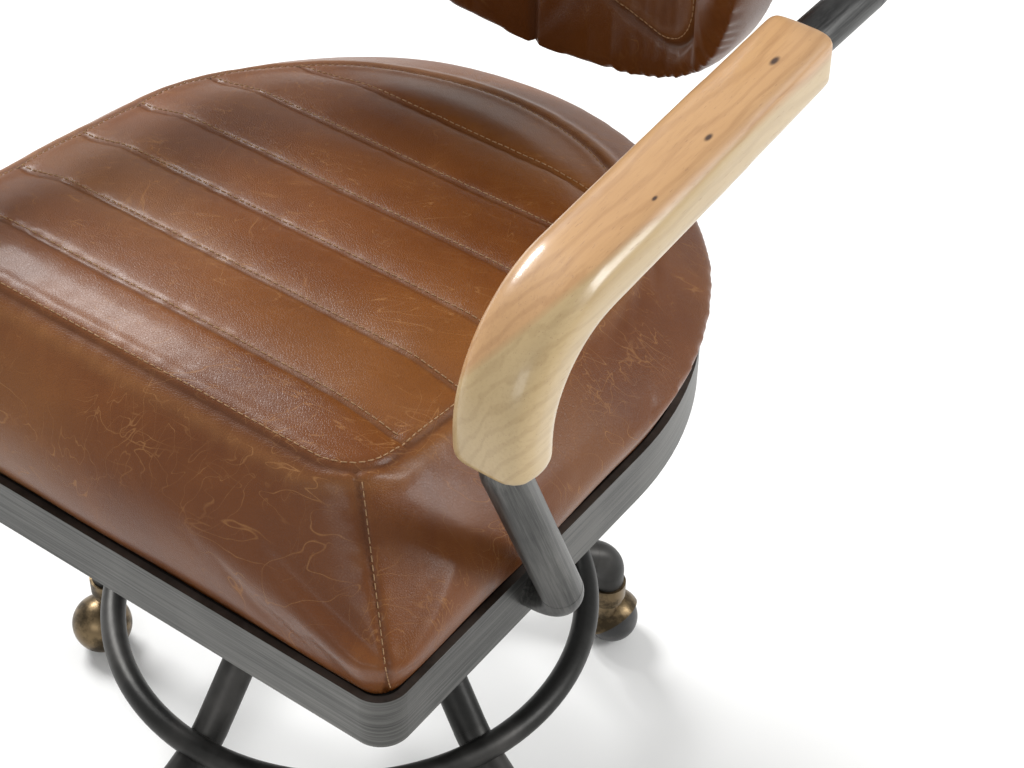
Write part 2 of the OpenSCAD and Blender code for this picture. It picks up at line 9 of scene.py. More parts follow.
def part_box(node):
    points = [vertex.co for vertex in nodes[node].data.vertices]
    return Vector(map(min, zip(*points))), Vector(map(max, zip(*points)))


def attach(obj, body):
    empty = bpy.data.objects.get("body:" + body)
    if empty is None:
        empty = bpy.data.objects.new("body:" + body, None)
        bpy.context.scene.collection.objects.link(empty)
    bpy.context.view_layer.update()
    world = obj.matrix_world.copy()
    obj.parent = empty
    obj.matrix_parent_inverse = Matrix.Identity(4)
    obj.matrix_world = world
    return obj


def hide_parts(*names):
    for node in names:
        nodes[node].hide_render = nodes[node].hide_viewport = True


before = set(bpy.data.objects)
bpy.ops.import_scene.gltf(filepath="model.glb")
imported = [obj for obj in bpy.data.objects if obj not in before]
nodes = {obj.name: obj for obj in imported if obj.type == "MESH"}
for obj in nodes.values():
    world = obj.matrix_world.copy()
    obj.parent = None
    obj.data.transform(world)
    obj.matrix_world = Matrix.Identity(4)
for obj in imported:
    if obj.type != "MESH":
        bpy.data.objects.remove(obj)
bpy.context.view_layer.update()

# ---- Camera and studio ----
# The camera looks down on the chair over its front left corner.
bpy.ops.object.camera_add(
    location=(0.7814, -0.9117, 1.4377),
    rotation=(math.radians(47.838), math.radians(-0.215), math.radians(36.46)),
)
camera = bpy.context.object
camera.data.lens = 81.58
camera.data.sensor_width = 36
camera.data.shift_x = 0.0181
camera.data.shift_y = -0.0321
bpy.context.scene.camera = camera
bpy.context.scene.view_settings.view_transform = "Standard"


class Value:
    """A socket whose value changes over a surface; arithmetic on it adds Math nodes."""

    def __init__(self, finish, socket):
        self.finish = finish
        self.socket = socket

    def math(self, operation, first, second=None):
        values = {0: first} if second is None else {0: first, 1: second}
        return self.finish.node("Math", {"operation": operation}, values)

    def __add__(self, other):
        return self.math("ADD", self, other)

    __radd__ = __add__

    def __sub__(self, other):
        return self.math("SUBTRACT", self, other)

    def __rsub__(self, other):
        return self.math("SUBTRACT", other, self)

    def __mul__(self, other):
        return self.math("MULTIPLY", self, other)

    __rmul__ = __mul__

    def __abs__(self):
        return self.math("ABSOLUTE", self)


class Finish:
    """A node material; fixed numbers are set on the shader, varying ones are linked to it."""

    def __init__(self, name, **fixed):
        self.material = bpy.data.materials.new(name)
        self.material.use_nodes = True
        self.tree = self.material.node_tree
        self.shader = next(n for n in self.tree.nodes if n.type == "BSDF_PRINCIPLED")
        for key, value in fixed.items():
            label = key.replace("_", " ").title().replace("Ior", "IOR")
            self.shader.inputs[label].default_value = value
        self.place = self.node("TexCoord", out="Object")

    def node(self, kind, settings=None, values=None, out=0):
        made = self.tree.nodes.new("ShaderNode" + kind)
        for key, value in (settings or {}).items():
            setattr(made, key, value)
        for key, value in (values or {}).items():
            if isinstance(value, Value):
                self.tree.links.new(value.socket, made.inputs[key])
            else:
                made.inputs[key].default_value = value
        return Value(self, made.outputs[out])

    def stretched(self, scale, turn=(0, 0, 0), shift=(0, 0, 0)):
        """The piece's own coordinates, turned first and then stretched along the new axes."""
        place = self.place
        if any(turn):
            turned = [math.radians(angle) for angle in turn]
            place = self.node("Mapping", {}, {"Vector": place, "Rotation": turned})
        return self.node("Mapping", {}, {"Vector": place, "Location": shift, "Scale": scale})

    def noise(self, scale, detail=3, roughness=0.5, distortion=0.0, place=None):
        values = {"Vector": place or self.place, "Scale": scale, "Detail": detail,
                  "Roughness": roughness, "Distortion": distortion}
        return self.node("TexNoise", {}, values)

    def step(self, value, low, high):
        """Rises smoothly from 0 where value is low to 1 where it is high."""
        values = {"Value": value, "From Min": low, "From Max": high}
        return self.node("MapRange", {"interpolation_type": "SMOOTHSTEP"}, values)

    def mix(self, share, first, second):
        first, second = [c if isinstance(c, Value) else (*c, 1) for c in (first, second)]
        settings = {"data_type": "RGBA", "clamp_factor": True}
        return self.node("Mix", settings, {0: share, 6: first, 7: second}, out=2)

    def axis(self, letter):
        return self.node("SeparateXYZ", {}, {0: self.place}, out=letter)

    def wire(self, **links):
        for key, value in links.items():
            label = key.replace("_", " ").title()
            self.tree.links.new(value.socket, self.shader.inputs[label])

    def bump(self, height, strength, distance):
        values = {"Height": height, "Strength": strength, "Distance": distance}
        self.wire(normal=self.node("Bump", {}, values))


def paint(finish, *names):
    """Gives each of these CAD nodes one finish."""
    for name in names:
        nodes[name].data.materials.clear()
        nodes[name].data.materials.append(finish.material)
        for polygon in nodes[name].data.polygons:
            polygon.material_index = 0


def numbered(stem):
    """The names of the five alike nodes with this stem."""
    return [f"{stem}_{index}" for index in range(1, 6)]


# A plain pale floor that the chair stands on.
bpy.ops.mesh.primitive_plane_add(size=14)
floor = bpy.context.object
floor.name = "floor"
floor_paint = Finish("pale_floor", base_color=(0.86, 0.86, 0.85, 1), roughness=0.85)
floor.data.materials.append(floor_paint.material)

# The dome is pale to look at but weaker as a light, so that the shading keeps its depth.
world = bpy.data.worlds.new("studio")
bpy.context.scene.world = world
world.use_nodes = True
sky = world.node_tree
dome = sky.nodes["Background"]
dome.inputs["Color"].default_value = (1, 1, 1, 1)
dome.inputs["Strength"].default_value = 0.62
looked_at = sky.nodes.new("ShaderNodeBackground")
straight = sky.nodes.new("ShaderNodeLightPath")
either = sky.nodes.new("ShaderNodeMixShader")
for source, target in (
    (straight.outputs["Is Camera Ray"], either.inputs["Fac"]),
    (dome.outputs["Background"], either.inputs[1]),
    (looked_at.outputs["Background"], either.inputs[2]),
    (either.outputs["Shader"], sky.nodes["World Output"].inputs["Surface"]),
):
    sky.links.new(source, target)

chair_middle = Vector((0, 0, 0.5))
for name, place, width, height, power in (
    ("window_left", (-2.2, 0.6, 2.6), 1.3, 0.9, 105),
    ("window_right", (2.6, 1.3, 1.9), 0.8, 1.6, 55),
    ("front_fill", (0.6, -3.0, 1.6), 1.6, 1.0, 14),
):
    bpy.ops.object.light_add(type="AREA", location=place)
    lamp = bpy.context.object
    lamp.name = name
    lamp.data.shape = "RECTANGLE"
    lamp.data.size = width
    lamp.data.size_y = height
    lamp.data.energy = power
    aim = chair_middle - Vector(place)
    lamp.rotation_euler = aim.to_track_quat("-Z", "Y").to_euler()

# ---- Legs, hub, column tube and foot ring ----
# Round steel tube, cut, bent and welded, then blackened and waxed: near black, with rubbed
# lighter patches along the tubes and a soft sheen.
black_steel = Finish("blackened_steel", metallic=0.75, specular_ior_level=0.5)
rubbed = black_steel.noise(9, detail=4, roughness=0.6)
grit = black_steel.noise(260, detail=2)
cloudy = black_steel.noise(38, detail=3)
patches = black_steel.step(rubbed, 0.42, 0.68)
rubbed_through = patches * 0.8 + grit * 0.15
black_steel.wire(
    base_color=black_steel.mix(rubbed_through, (0.018, 0.018, 0.017), (0.075, 0.072, 0.068)),
    roughness=0.30 + cloudy * 0.22 + patches * 0.08,
)
black_steel.bump(grit, 0.12, 0.0006)
paint(black_steel, "hub", "outer_tube", "foot_ring", *numbered("leg"))

# ---- Casters ----
# A cast hood of antique brass over a black ball wheel that rolls on a tilted axle; the stem
# turns in the hood's boss, and a turned ferrule caps each leg.
old_brass = Finish("antique_brass", metallic=0.9)
tarnish = old_brass.noise(55, detail=4, roughness=0.65)
pitting = old_brass.noise(420, detail=2)
dulled = old_brass.step(tarnish, 0.38, 0.62)
old_brass.wire(
    base_color=old_brass.mix(dulled, (0.050, 0.036, 0.020), (0.175, 0.125, 0.068)),
    roughness=0.48 - dulled * 0.16,
)
old_brass.bump(pitting, 0.15, 0.0004)
paint(old_brass, "leg_ferrules", *numbered("caster_hood"))

wheel_black = Finish("wheel_black", coat_weight=0.2, coat_roughness=0.3)
scuffs = wheel_black.noise(70, detail=4, roughness=0.7)
scuffed = wheel_black.step(scuffs, 0.5, 0.75)
wheel_black.wire(
    base_color=wheel_black.mix(scuffed, (0.012, 0.012, 0.012), (0.06, 0.057, 0.053)),
    roughness=0.25 + scuffs * 0.3,
)
wheel_black.bump(scuffs, 0.1, 0.0004)
paint(wheel_black, *numbered("caster_wheel"))

plain_steel = Finish("plain_steel", metallic=1.0)
turned = plain_steel.noise(8, detail=3, place=plain_steel.stretched((4, 4, 90)))
plain_steel.wire(
    base_color=plain_steel.mix(turned, (0.36, 0.36, 0.37), (0.56, 0.56, 0.57)),
    roughness=0.22 + turned * 0.2,
)
paint(plain_steel, "caster_stems", "retaining_clip", "piston_rod", "plate_bolts", "lever_pin",
      "seat_screws", "height_lever", *numbered("caster_axle"))

# ---- Lift column, plate and lever ----
# A gas lift in black painted steel under a pressed plate, worked by a bent rod with a plastic
# grip; its valve button and thrust washer are brass.
black_paint = Finish("black_paint", metallic=0.0, coat_weight=0.15)
orange_peel = black_paint.noise(320, detail=2)
dust = black_paint.noise(14, detail=4)
black_paint.wire(
    base_color=black_paint.mix(dust, (0.016, 0.016, 0.016), (0.036, 0.036, 0.035)),
    roughness=0.38 + dust * 0.25,
)
black_paint.bump(orange_peel, 0.15, 0.0004)
paint(black_paint, "gas_cylinder", "swivel_plate")

grip_plastic = Finish("grip_plastic")
spark = grip_plastic.noise(600, detail=2)
grip_plastic.wire(
    base_color=grip_plastic.mix(spark, (0.014, 0.014, 0.014), (0.03, 0.03, 0.03)),
    roughness=0.5 + spark * 0.2,
)
grip_plastic.bump(spark, 0.3, 0.0004)
paint(grip_plastic, "guide_bush", "lever_knob")

turned_brass = Finish("turned_brass", metallic=1.0)
lathe = turned_brass.noise(10, detail=2, place=turned_brass.stretched((3, 3, 120)))
turned_brass.wire(
    base_color=turned_brass.mix(lathe, (0.48, 0.33, 0.12), (0.66, 0.50, 0.23)),
    roughness=0.25 + lathe * 0.2,
)
paint(turned_brass, "thrust_washer", "valve_button")

ply = Finish("painted_ply")
veneer = ply.noise(6, detail=5, place=ply.stretched((60, 3, 60)))
ply.wire(
    base_color=ply.mix(veneer, (0.014, 0.013, 0.012), (0.034, 0.031, 0.028)),
    roughness=0.6 + veneer * 0.2,
)
ply.bump(veneer, 0.2, 0.0005)
paint(ply, "seat_board")


# ---- Seat band, arm tubes and the tube round the back ----
# Flat steel bent to a horseshoe, and round tube, all rubbed along their length with an abrasive
# and darkened to gunmetal: fine streaks run along each piece, and the handled parts are paler.
def gunmetal(name, stretch, turn=(0, 0, 0), dark=(0.052, 0.052, 0.050), pale=(0.19, 0.187, 0.178)):
    """Brushed steel whose streaks run along the axis that stretch makes shortest."""
    made = Finish(name, metallic=0.88, specular_ior_level=0.5)
    streaks = made.noise(5, detail=6, roughness=0.72, place=made.stretched(stretch, turn))
    handled = made.noise(7, detail=4, roughness=0.6, distortion=0.6)
    worn = made.step(handled, 0.38, 0.66)
    tone = made.step(streaks, 0.34, 0.68) * 0.62 + worn * 0.38
    made.wire(
        base_color=made.mix(tone, dark, pale),
        roughness=0.30 + streaks * 0.22 + worn * 0.06,
    )
    made.bump(streaks, 0.22, 0.0005)
    return made


band_steel = gunmetal("band_gunmetal", (1.6, 1.6, 120))
paint(band_steel, "seat_frame", "front_cross_bar", "rear_cross_bar")
post_lean = -21.9
post_steel = gunmetal("post_gunmetal", (90, 90, 2.5), turn=(post_lean, 0, 0))
paint(post_steel, "left_arm_post", "right_arm_post")
hoop_steel = gunmetal(
    "hoop_gunmetal", (3, 3, 110), dark=(0.036, 0.036, 0.036), pale=(0.13, 0.13, 0.127)
)
paint(hoop_steel, "back_hoop", "back_standoffs", "back_bolts")


# ---- Wooden arms ----
# Each grip is carved from one block of light hardwood, sanded round, stained and varnished. The
# block takes in heartwood above and paler sapwood below, with a wavy border between them.
def fresh_copy(name, source):
    """A new object with its own merged mesh, made from a CAD node."""
    bpy.ops.object.select_all(action="DESELECT")
    made = bpy.data.objects.new(name, nodes[source].data.copy())
    bpy.context.scene.collection.objects.link(made)
    made.data.materials.clear()
    bpy.context.view_layer.objects.active = made
    made.select_set(True)
    bpy.ops.object.mode_set(mode="EDIT")
    bpy.ops.mesh.select_all(action="SELECT")
    bpy.ops.mesh.remove_doubles(threshold=0.00002)
    bpy.ops.mesh.customdata_custom_splitnormals_clear()
    bpy.ops.object.mode_set(mode="OBJECT")
    return made


def remeshed(made, cell, rounds):
    """Even quads all over, with the edges worn round by the smoothing rounds."""
    made.data.remesh_voxel_size = cell
    bpy.ops.object.voxel_remesh()
    soften = made.modifiers.new("soften", "SMOOTH")
    soften.factor = 0.5
    soften.iterations = rounds
    bpy.ops.object.modifier_apply(modifier=soften.name)
    for polygon in made.data.polygons:
        polygon.use_smooth = True
    return made


def points_of(made):
    """The places of a mesh's points, one row each."""
    flat = np.zeros(len(made.data.vertices) * 3)
    made.data.vertices.foreach_get("co", flat)
    return flat.reshape(-1, 3)


def normals_of(made):
    """The outward way at each of a mesh's points, one row each."""
    flat = np.zeros(len(made.data.vertices) * 3)
    made.data.vertex_normals.foreach_get("vector", flat)
    return flat.reshape(-1, 3)


def move_to(made, points):
    """Puts a mesh's points at these places."""
    made.data.vertices.foreach_set("co", points.ravel())
    made.data.update()


def arm_wood(name, side):
    """Varnished hardwood, laid out from the arm's own box; side is 1 for left and -1 for right."""
    made = Finish(name, coat_weight=0.55, coat_roughness=0.16, specular_ior_level=0.5)
    low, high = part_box(f"{'left' if side > 0 else 'right'}_wood_arm")
    middle = (low.x + high.x) / 2
    across = (made.axis("X") - middle) * side
    up = made.axis("Z")

    border_drop, border_slope, border_wave = 0.045, 1.3, 0.020
    wave = made.noise(1.0, detail=2, place=made.stretched((9, 9, 4), shift=(side * 3.1, 0, 0)))
    border = up - high.z + border_drop + (wave - 0.5) * border_wave - across * border_slope
    heart = made.step(border, -0.0035, 0.0045)

    ring_wave, rings_apart = 0.045, 430.0
    long_way = made.stretched((14, 3, 10), shift=(side, 0, 0))
    swirl = made.noise(2.2, detail=3, distortion=0.4, place=long_way)
    ring_phase = (border + (swirl - 0.5) * ring_wave) * rings_apart
    lines = made.step(made.node("Math", {"operation": "SINE"}, {0: ring_phase}), 0.1, 1.0)
    fibres = made.noise(7, detail=6, roughness=0.65, place=made.stretched((70, 3.2, 70)))
    pores = made.noise(11, detail=2, place=made.stretched((120, 9, 120)))
    pore = made.step(pores, 0.66, 0.74)

    clouds = made.noise(16, detail=3)
    tan = made.mix(clouds, (0.43, 0.235, 0.098), (0.545, 0.325, 0.150))
    pale = made.mix(clouds, (0.40, 0.275, 0.125), (0.52, 0.385, 0.200))
    ground = made.mix(heart, pale, tan)
    dark = made.mix(heart, (0.30, 0.19, 0.075), (0.27, 0.125, 0.045))
    ringed = made.mix(lines * 0.24 + made.step(fibres, 0.45, 0.72) * 0.24, ground, dark)
    edge = 1.0 - made.step(abs(border - 0.001), 0.0006, 0.004)
    edged = made.mix(edge * 0.45, ringed, (0.40, 0.25, 0.11))

    knot_length = 0.45
    flat_place = made.stretched((1, knot_length, 0))
    knots = None
    for x, y, size in ((0.006, 0.048, 0.0019), (0.011, -0.028, 0.0015), (0.014, -0.085, 0.001)):
        centre = (middle + side * x, y * knot_length, 0)
        gap = made.node("VectorMath", {"operation": "DISTANCE"}, {0: flat_place, 1: centre}, "Value")
        knot = 1.0 - made.step(gap, size * 0.45, size * 1.5)
        knots = knot if knots is None else knots + knot
    on_top = made.step(up, high.z - 0.06, high.z - 0.03)
    knotted = made.mix(knots * on_top, edged, (0.055, 0.025, 0.012))
    made.wire(
        base_color=made.mix(pore * 0.42, knotted, (0.24, 0.11, 0.045)),
        roughness=0.30 + fibres * 0.14 + pore * 0.2,
    )
    made.bump(fibres * 0.5 - pore * 0.8, 0.18, 0.0006)
    return made


wood_cell, wood_sanding = 0.0022, 34
for side, name in ((1, "left"), (-1, "right")):
    grip = remeshed(fresh_copy(f"{name}_arm_grip", f"{name}_wood_arm"), wood_cell, wood_sanding)
    grip.data.materials.append(arm_wood(f"{name}_arm_wood", side).material)
    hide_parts(f"{name}_wood_arm")
    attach(grip, "seat")


# ---- Leather ----
# Waxed pull-up hide in cognac brown: it pales where it is stretched or creased, shows fine
# scratches and a close grain, and has been polished to a soft gloss.
# Painted shade darkens the valleys along its seams and channels.
def cognac(name, shade, shift):
    """The hide; shade darkens it, and shift moves its pattern so that two hides differ."""
    made = Finish(name, coat_weight=0.13, coat_roughness=0.18, specular_ior_level=0.24)
    base = made.stretched((1, 1, 1), shift=shift)
    mottle = made.noise(7, detail=5, roughness=0.62, distortion=0.5, place=base)
    cloud = made.noise(26, detail=4, roughness=0.6, place=base)
    handled = made.noise(13, detail=3, place=base)
    grain_values = {"Vector": base, "Scale": 620}
    grain = made.node("TexVoronoi", {"feature": "DISTANCE_TO_EDGE"}, grain_values)
    pore = made.step(grain, 0.0, 0.16)

    crease = None
    hairlines = ((78, 62, 0.008), (110, 34, 0.010), (150, 84, 0.012), (95, -24, 0.008))
    for across, turn, width in hairlines:
        stretch = (across, across * 0.16, across * 0.45)
        laid = made.stretched(stretch, turn=(10, 0, turn), shift=shift)
        ridges = made.noise(1.0, detail=1.5, roughness=0.4, distortion=0.25, place=laid)
        patchy = made.noise(17, detail=3, place=made.stretched((1, 1, 1), shift=(0, turn, 0)))
        hairline = 1.0 - made.step(abs(ridges - 0.5), 0.0, width)
        line = hairline * made.step(patchy, 0.46, 0.64)
        crease = line if crease is None else line.math("MAXIMUM", crease, line)
    marks = crease * made.step(handled, 0.28, 0.55)

    stretched = made.node("Attribute", {"attribute_name": "stretched"}, out="Fac")
    fold_shade = made.node("Attribute", {"attribute_name": "fold_shade"}, out="Fac")
    deep = tuple(part * shade for part in (0.098, 0.026, 0.0045))
    mid = tuple(part * shade for part in (0.190, 0.060, 0.0095))
    light = tuple(part * shade for part in (0.40, 0.195, 0.065))
    # The next colour is painted shade for the seam valleys: half the deepest brown.
    painted_seam_shade = tuple(part * 0.5 for part in deep)
    hide = made.mix(made.step(mottle, 0.30, 0.70) * 0.62 + cloud * 0.38, deep, mid)
    pulled = made.mix(marks * 0.40 + stretched * 0.30, hide, light)
    # Painted shade: the hide is darkened along the seam valleys that the fold mask marks.
    shaded = made.mix(fold_shade * 0.55, pulled, painted_seam_shade)
    made.wire(
        base_color=made.mix((1.0 - pore) * 0.22, shaded, deep),
        roughness=0.30 + mottle * 0.16 + marks * 0.14 + fold_shade * 0.2,
    )
    fine = made.noise(180, detail=2, place=base)
    made.bump(pore * 0.35 + cloud * 0.5 - marks * 0.25 + fine * 0.35, 0.26, 0.0011)
    return made


thread_finish = Finish("thread", specular_ior_level=0.3)
twist = thread_finish.noise(900, detail=2)
thread_finish.wire(
    base_color=thread_finish.mix(twist, (0.30, 0.16, 0.075), (0.56, 0.36, 0.20)),
    roughness=0.65 + twist * 0.2,
)
thread_finish.bump(twist, 0.4, 0.0003)


def swell(made, held, pressure, most, moments=20):
    """Blows the piece up between its held seams, and lets no point move further than most."""
    start = points_of(made)
    group = made.vertex_groups.new(name="held")
    for index in np.nonzero(held > 0.01)[0]:
        group.add([int(index)], float(held[index]), "REPLACE")
    cloth = made.modifiers.new("swell", "CLOTH")
    cloth.settings.vertex_group_mass = group.name
    cloth.settings.use_pressure = True
    cloth.settings.uniform_pressure_force = pressure
    cloth.settings.quality = 4
    cloth.settings.effector_weights.gravity = 0
    cloth.collision_settings.use_collision = False
    scene = bpy.context.scene
    for moment in range(1, moments + 1):
        scene.frame_set(moment)
    seen = made.evaluated_get(bpy.context.evaluated_depsgraph_get())
    moved = points_of(seen) - start
    made.modifiers.remove(cloth)
    scene.frame_set(1)
    far = np.linalg.norm(moved, axis=1)
    moved *= np.minimum(1, most / np.maximum(far, 1e-9))[:, None]
    move_to(made, start + moved)
    made.vertex_groups.clear()


def finer(made):
    """One level of subdivision, applied."""
    bpy.context.view_layer.objects.active = made
    detail = made.modifiers.new("finer", "SUBSURF")
    detail.levels = 1
    detail.render_levels = 1
    bpy.ops.object.modifier_apply(modifier=detail.name)
    for polygon in made.data.polygons:
        polygon.use_smooth = True


def mark(made, name, values):
    """Stores one number per point, between 0 and 1, for the hide's finish to read."""
    layer = made.data.attributes.new(name, "FLOAT", "POINT")
    layer.data.foreach_set("value", np.clip(values, 0, 1).astype(np.float32))


def waves(points, length, seed, count=7):
    """A smooth wandering number between -1 and 1 at each point."""
    rng = np.random.default_rng(seed)
    total = np.zeros(len(points))
    for _ in range(count):
        way = rng.normal(size=3)
        way /= np.linalg.norm(way)
        turns = points @ way * 2 * math.pi / (length * rng.uniform(0.7, 1.6))
        total += np.sin(turns + rng.uniform(0, 6.3))
    return total / count


def pinned(gap, reach, top=1.5):
    """How firmly a point is held at this distance from a seam, from 1 down to 0."""
    return np.clip(top - np.abs(gap) / reach, 0, 1)


def bell(gap, reach):
    """1 on a line, falling smoothly to nothing at about twice reach."""
    return np.exp(-(gap / reach) ** 2)


def tail(gap, reach):
    """1 on a line, dying away slowly on both sides."""
    return np.exp(-np.abs(gap) / reach)


def rounded(past_side, past_end, corner):
    """Signed distance from a round-cornered rectangle, from the distances past its edges."""
    x, y = past_side + corner, past_end + corner
    return np.hypot(np.maximum(x, 0), np.maximum(y, 0)) + np.minimum(np.maximum(x, y), 0) - corner


def traced(gap_at, count, start, inset, rounds=40, pace=0.8):
    """(turn, span) pairs round a closed seam, each moved out until it is inset from the seam."""
    found = []
    for index in range(count):
        turn = 2 * math.pi * index / (count - 1)
        span = start
        for _ in range(rounds):
            span -= (gap_at(turn, span) + inset) * pace
        found.append((turn, span))
    return found


def sew(name, surface, seams, pitch=0.0052, length=0.0038, width=0.00095):
    """Rows of stitches: each seam is a list of (point, outward way) that the thread lies along."""
    stand_off, search, widest_gap = 0.05, 0.12, 0.02
    tree = BVHTree.FromObject(surface, bpy.context.evaluated_depsgraph_get())
    bpy.ops.object.select_all(action="DESELECT")
    bpy.ops.mesh.primitive_cylinder_add(
        vertices=6, radius=width / 2, depth=length, rotation=(0, math.pi / 2, 0)
    )
    thread = bpy.context.object
    bpy.ops.object.transform_apply(rotation=True, location=False, scale=False)
    bpy.ops.object.mode_set(mode="EDIT")
    bpy.ops.mesh.select_all(action="SELECT")
    bpy.ops.mesh.bevel(offset=width * 0.3, segments=1, affect="EDGES")
    bpy.ops.object.mode_set(mode="OBJECT")
    shape = points_of(thread)
    faces = [tuple(polygon.vertices) for polygon in thread.data.polygons]
    bpy.data.objects.remove(thread)

    corners, loops = [], []
    for seam in seams:
        line = []
        for point, way in seam:
            above_it = Vector(point) + Vector(way) * stand_off
            hit, normal, _, _ = tree.ray_cast(above_it, -Vector(way), search)
            if hit is not None:
                line.append((hit, normal))
        travelled = 0.0
        for (here, up), (there, _) in zip(line, line[1:]):
            run = there - here
            if run.length < 1e-6 or run.length > widest_gap:
                continue
            while travelled < run.length:
                at = here + run * (travelled / run.length)
                forward = run.normalized()
                sideways = up.cross(forward).normalized()
                top = forward.cross(sideways).normalized()
                turn = np.array([forward, sideways, top]).T
                raised = np.array(at) + np.array(top) * width * 0.12
                base = len(corners)
                corners.extend((shape @ turn.T + raised).tolist())
                loops.extend([tuple(base + i for i in face) for face in faces])
                travelled += pitch
            travelled -= run.length

    mesh = bpy.data.meshes.new(name)
    mesh.from_pydata(corners, [], loops)
    made = bpy.data.objects.new(name, mesh)
    bpy.context.scene.collection.objects.link(made)
    made.data.materials.append(thread_finish.material)
    for polygon in mesh.polygons:
        polygon.use_smooth = True
    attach(made, "seat")


pad_cell = 0.0048

# ---- Seat cushion ----
# Foam under hide: a top panel sewn in channels from side to side, a seam all round it, and a
# tall boxing with an upright seam at each front corner. It rests on the board inside the band.
band_low, band_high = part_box("seat_frame")
front = band_low.y
half = band_high.x
board_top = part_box("seat_cushion")[0].z
channel_seams = [front + gap for gap in (0.093, 0.152, 0.209, 0.265, 0.326, 0.384)]
panel_half = 0.188
panel_front = front + 0.046
panel_round = 0.034
panel_centre = front + 0.266
front_seam_height, rear_seam_height, seam_run = 0.121, 0.062, 0.408
corner_foot = np.array([half - 0.009, front + 0.012])
boxing_middle = board_top + 0.045


def panel_gap(points):
    """Signed distance in plan from the top panel's seam, negative inside it."""
    x = np.abs(points[:, 0])
    y = points[:, 1]
    rear = np.hypot(x, y - panel_centre) - panel_half
    return np.where(y > panel_centre, rear, rounded(x - panel_half, panel_front - y, panel_round))


def seam_height(y):
    """Height of the top panel's seam at a depth."""
    fall = (rear_seam_height - front_seam_height) / seam_run
    return board_top + front_seam_height + (y - panel_front) * fall


def corner_gap(points):
    """Distance from the upright seams at the two front corners of the boxing."""
    inset = 0.3 * panel_round
    start = np.array([panel_half - inset, panel_front + inset])
    way = (corner_foot - start) / np.linalg.norm(corner_foot - start)
    offset = np.stack([np.abs(points[:, 0]), points[:, 1]], axis=1) - start
    gap = np.abs(offset @ np.array([-way[1], way[0]]))
    outside = panel_gap(points) > 0.001
    return np.where((offset @ way > -0.004) & outside, gap, 1.0)


def channel_gap(points):
    """Signed distance in depth from the nearest channel seam."""
    offsets = points[:, 1][:, None] - np.array(channel_seams)[None, :]
    nearest = np.argmin(np.abs(offsets), axis=1)
    return offsets[np.arange(len(points)), nearest]


cushion = remeshed(fresh_copy("seat_pad", "seat_cushion"), pad_cell, 5)
where = points_of(cushion)
inside = panel_gap(where)
upper = where[:, 2] > boxing_middle
held = np.maximum.reduce([
    np.where(upper, pinned(inside, 0.0035, 1.6), 0),
    np.where(upper & (inside < 0.002), pinned(channel_gap(where), 0.003, 1.6), 0),
    pinned(corner_gap(where), 0.0035) * 0.9,
    np.where(where[:, 2] < board_top + 0.003, 1, 0),
])
swell(cushion, held, pressure=3.2, most=0.011)
finer(cushion)
where = points_of(cushion)
out = normals_of(cushion)
inside = panel_gap(where)
side_way = channel_gap(where)
upper = (where[:, 2] > boxing_middle) & (out[:, 2] > -0.2)
on_panel = upper & (inside < 0)
clear_of_foot = where[:, 2] > board_top + 0.004
channel = on_panel * bell(side_way, 0.0019) * np.clip(-inside / 0.004, 0, 1)
trough = on_panel * tail(side_way, 0.010) * np.clip(-inside / 0.01, 0, 1)
rim = upper * bell(inside, 0.0022)
outer_roll = upper * bell(inside - 0.0065, 0.0042)
inner_roll = upper * bell(inside + 0.008, 0.005)
upright = bell(corner_gap(where), 0.0019) * clear_of_foot
near_corner = tail(corner_gap(where), 0.012)
near_seam = np.maximum.reduce([
    tail(inside, 0.012) * upper, tail(side_way, 0.010) * on_panel, near_corner
])
pucker = waves(where * (0.4, 0.4, 1), 0.010, 6) * near_corner * 0.0007
pucker += waves(where, 0.017, 5) * near_seam * 0.00055
sag = waves(where, 0.11, 8) * 0.0016
sunk = 0.0010 * channel + 0.0030 * trough + 0.0014 * rim + 0.0016 * upright
raised = 0.0010 * outer_roll + 0.0010 * inner_roll
depth = np.where(where[:, 2] < board_top + 0.004, 0, raised - sunk + pucker + sag)
move_to(cushion, where + out * depth[:, None])
pulled_tight = 0.55 * outer_roll + np.clip(waves(where, 0.19, 3) * 1.1, 0, 0.4)
puckered = near_seam * np.clip(waves(where, 0.012, 4), 0, 1) * 0.7
# The seam, channel and corner valleys are marked for painted shade, which the hide's finish lays
# into them.
mark(cushion, "fold_shade", 0.8 * channel + 0.9 * rim + 0.9 * upright)
mark(cushion, "stretched", pulled_tight + puckered)
seat_hide = cognac("seat_hide", 1.0, (0.0, 0.0, 0.0))
cushion.data.materials.append(seat_hide.material)
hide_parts("seat_cushion")
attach(cushion, "seat")

# Stitches run just behind each channel seam, just inside the panel's seam, and down each corner.
upward = (0, 0, 1)
rows = []
for seam_y in channel_seams:
    reach = panel_half
    if seam_y > panel_centre:
        reach = math.sqrt(panel_half ** 2 - (seam_y - panel_centre) ** 2)
    reach -= 0.006
    height = seam_height(seam_y)
    rows.append([((x, seam_y + 0.0028, height), upward) for x in np.arange(-reach, reach, 0.004)])

trace_y = panel_centre * 0.6 + panel_front * 0.4


def panel_point(turn, span):
    """A place over the panel, this way and this far from a point inside its seam."""
    return np.array([math.sin(turn) * span, trace_y - math.cos(turn) * span, board_top + 0.08])


trail = traced(lambda *at: panel_gap(panel_point(*at)[None])[0], 240, start=0.05, inset=0.0042)
rows.append([(panel_point(*at), upward) for at in trail])
corner_head = np.array([panel_half - 0.01, panel_front + 0.01])
for side in (1, -1):
    line = []
    for share in np.linspace(0.06, 0.97, 34):
        x, y = corner_head + share * (corner_foot - corner_head) + 0.0022
        z = seam_height(panel_front) * (1 - share) + (board_top + 0.006) * share
        line.append(((side * x, y, z), (side * 0.66, -0.75, 0)))
    rows.append(line)
sew("seat_stitches", cushion, rows)

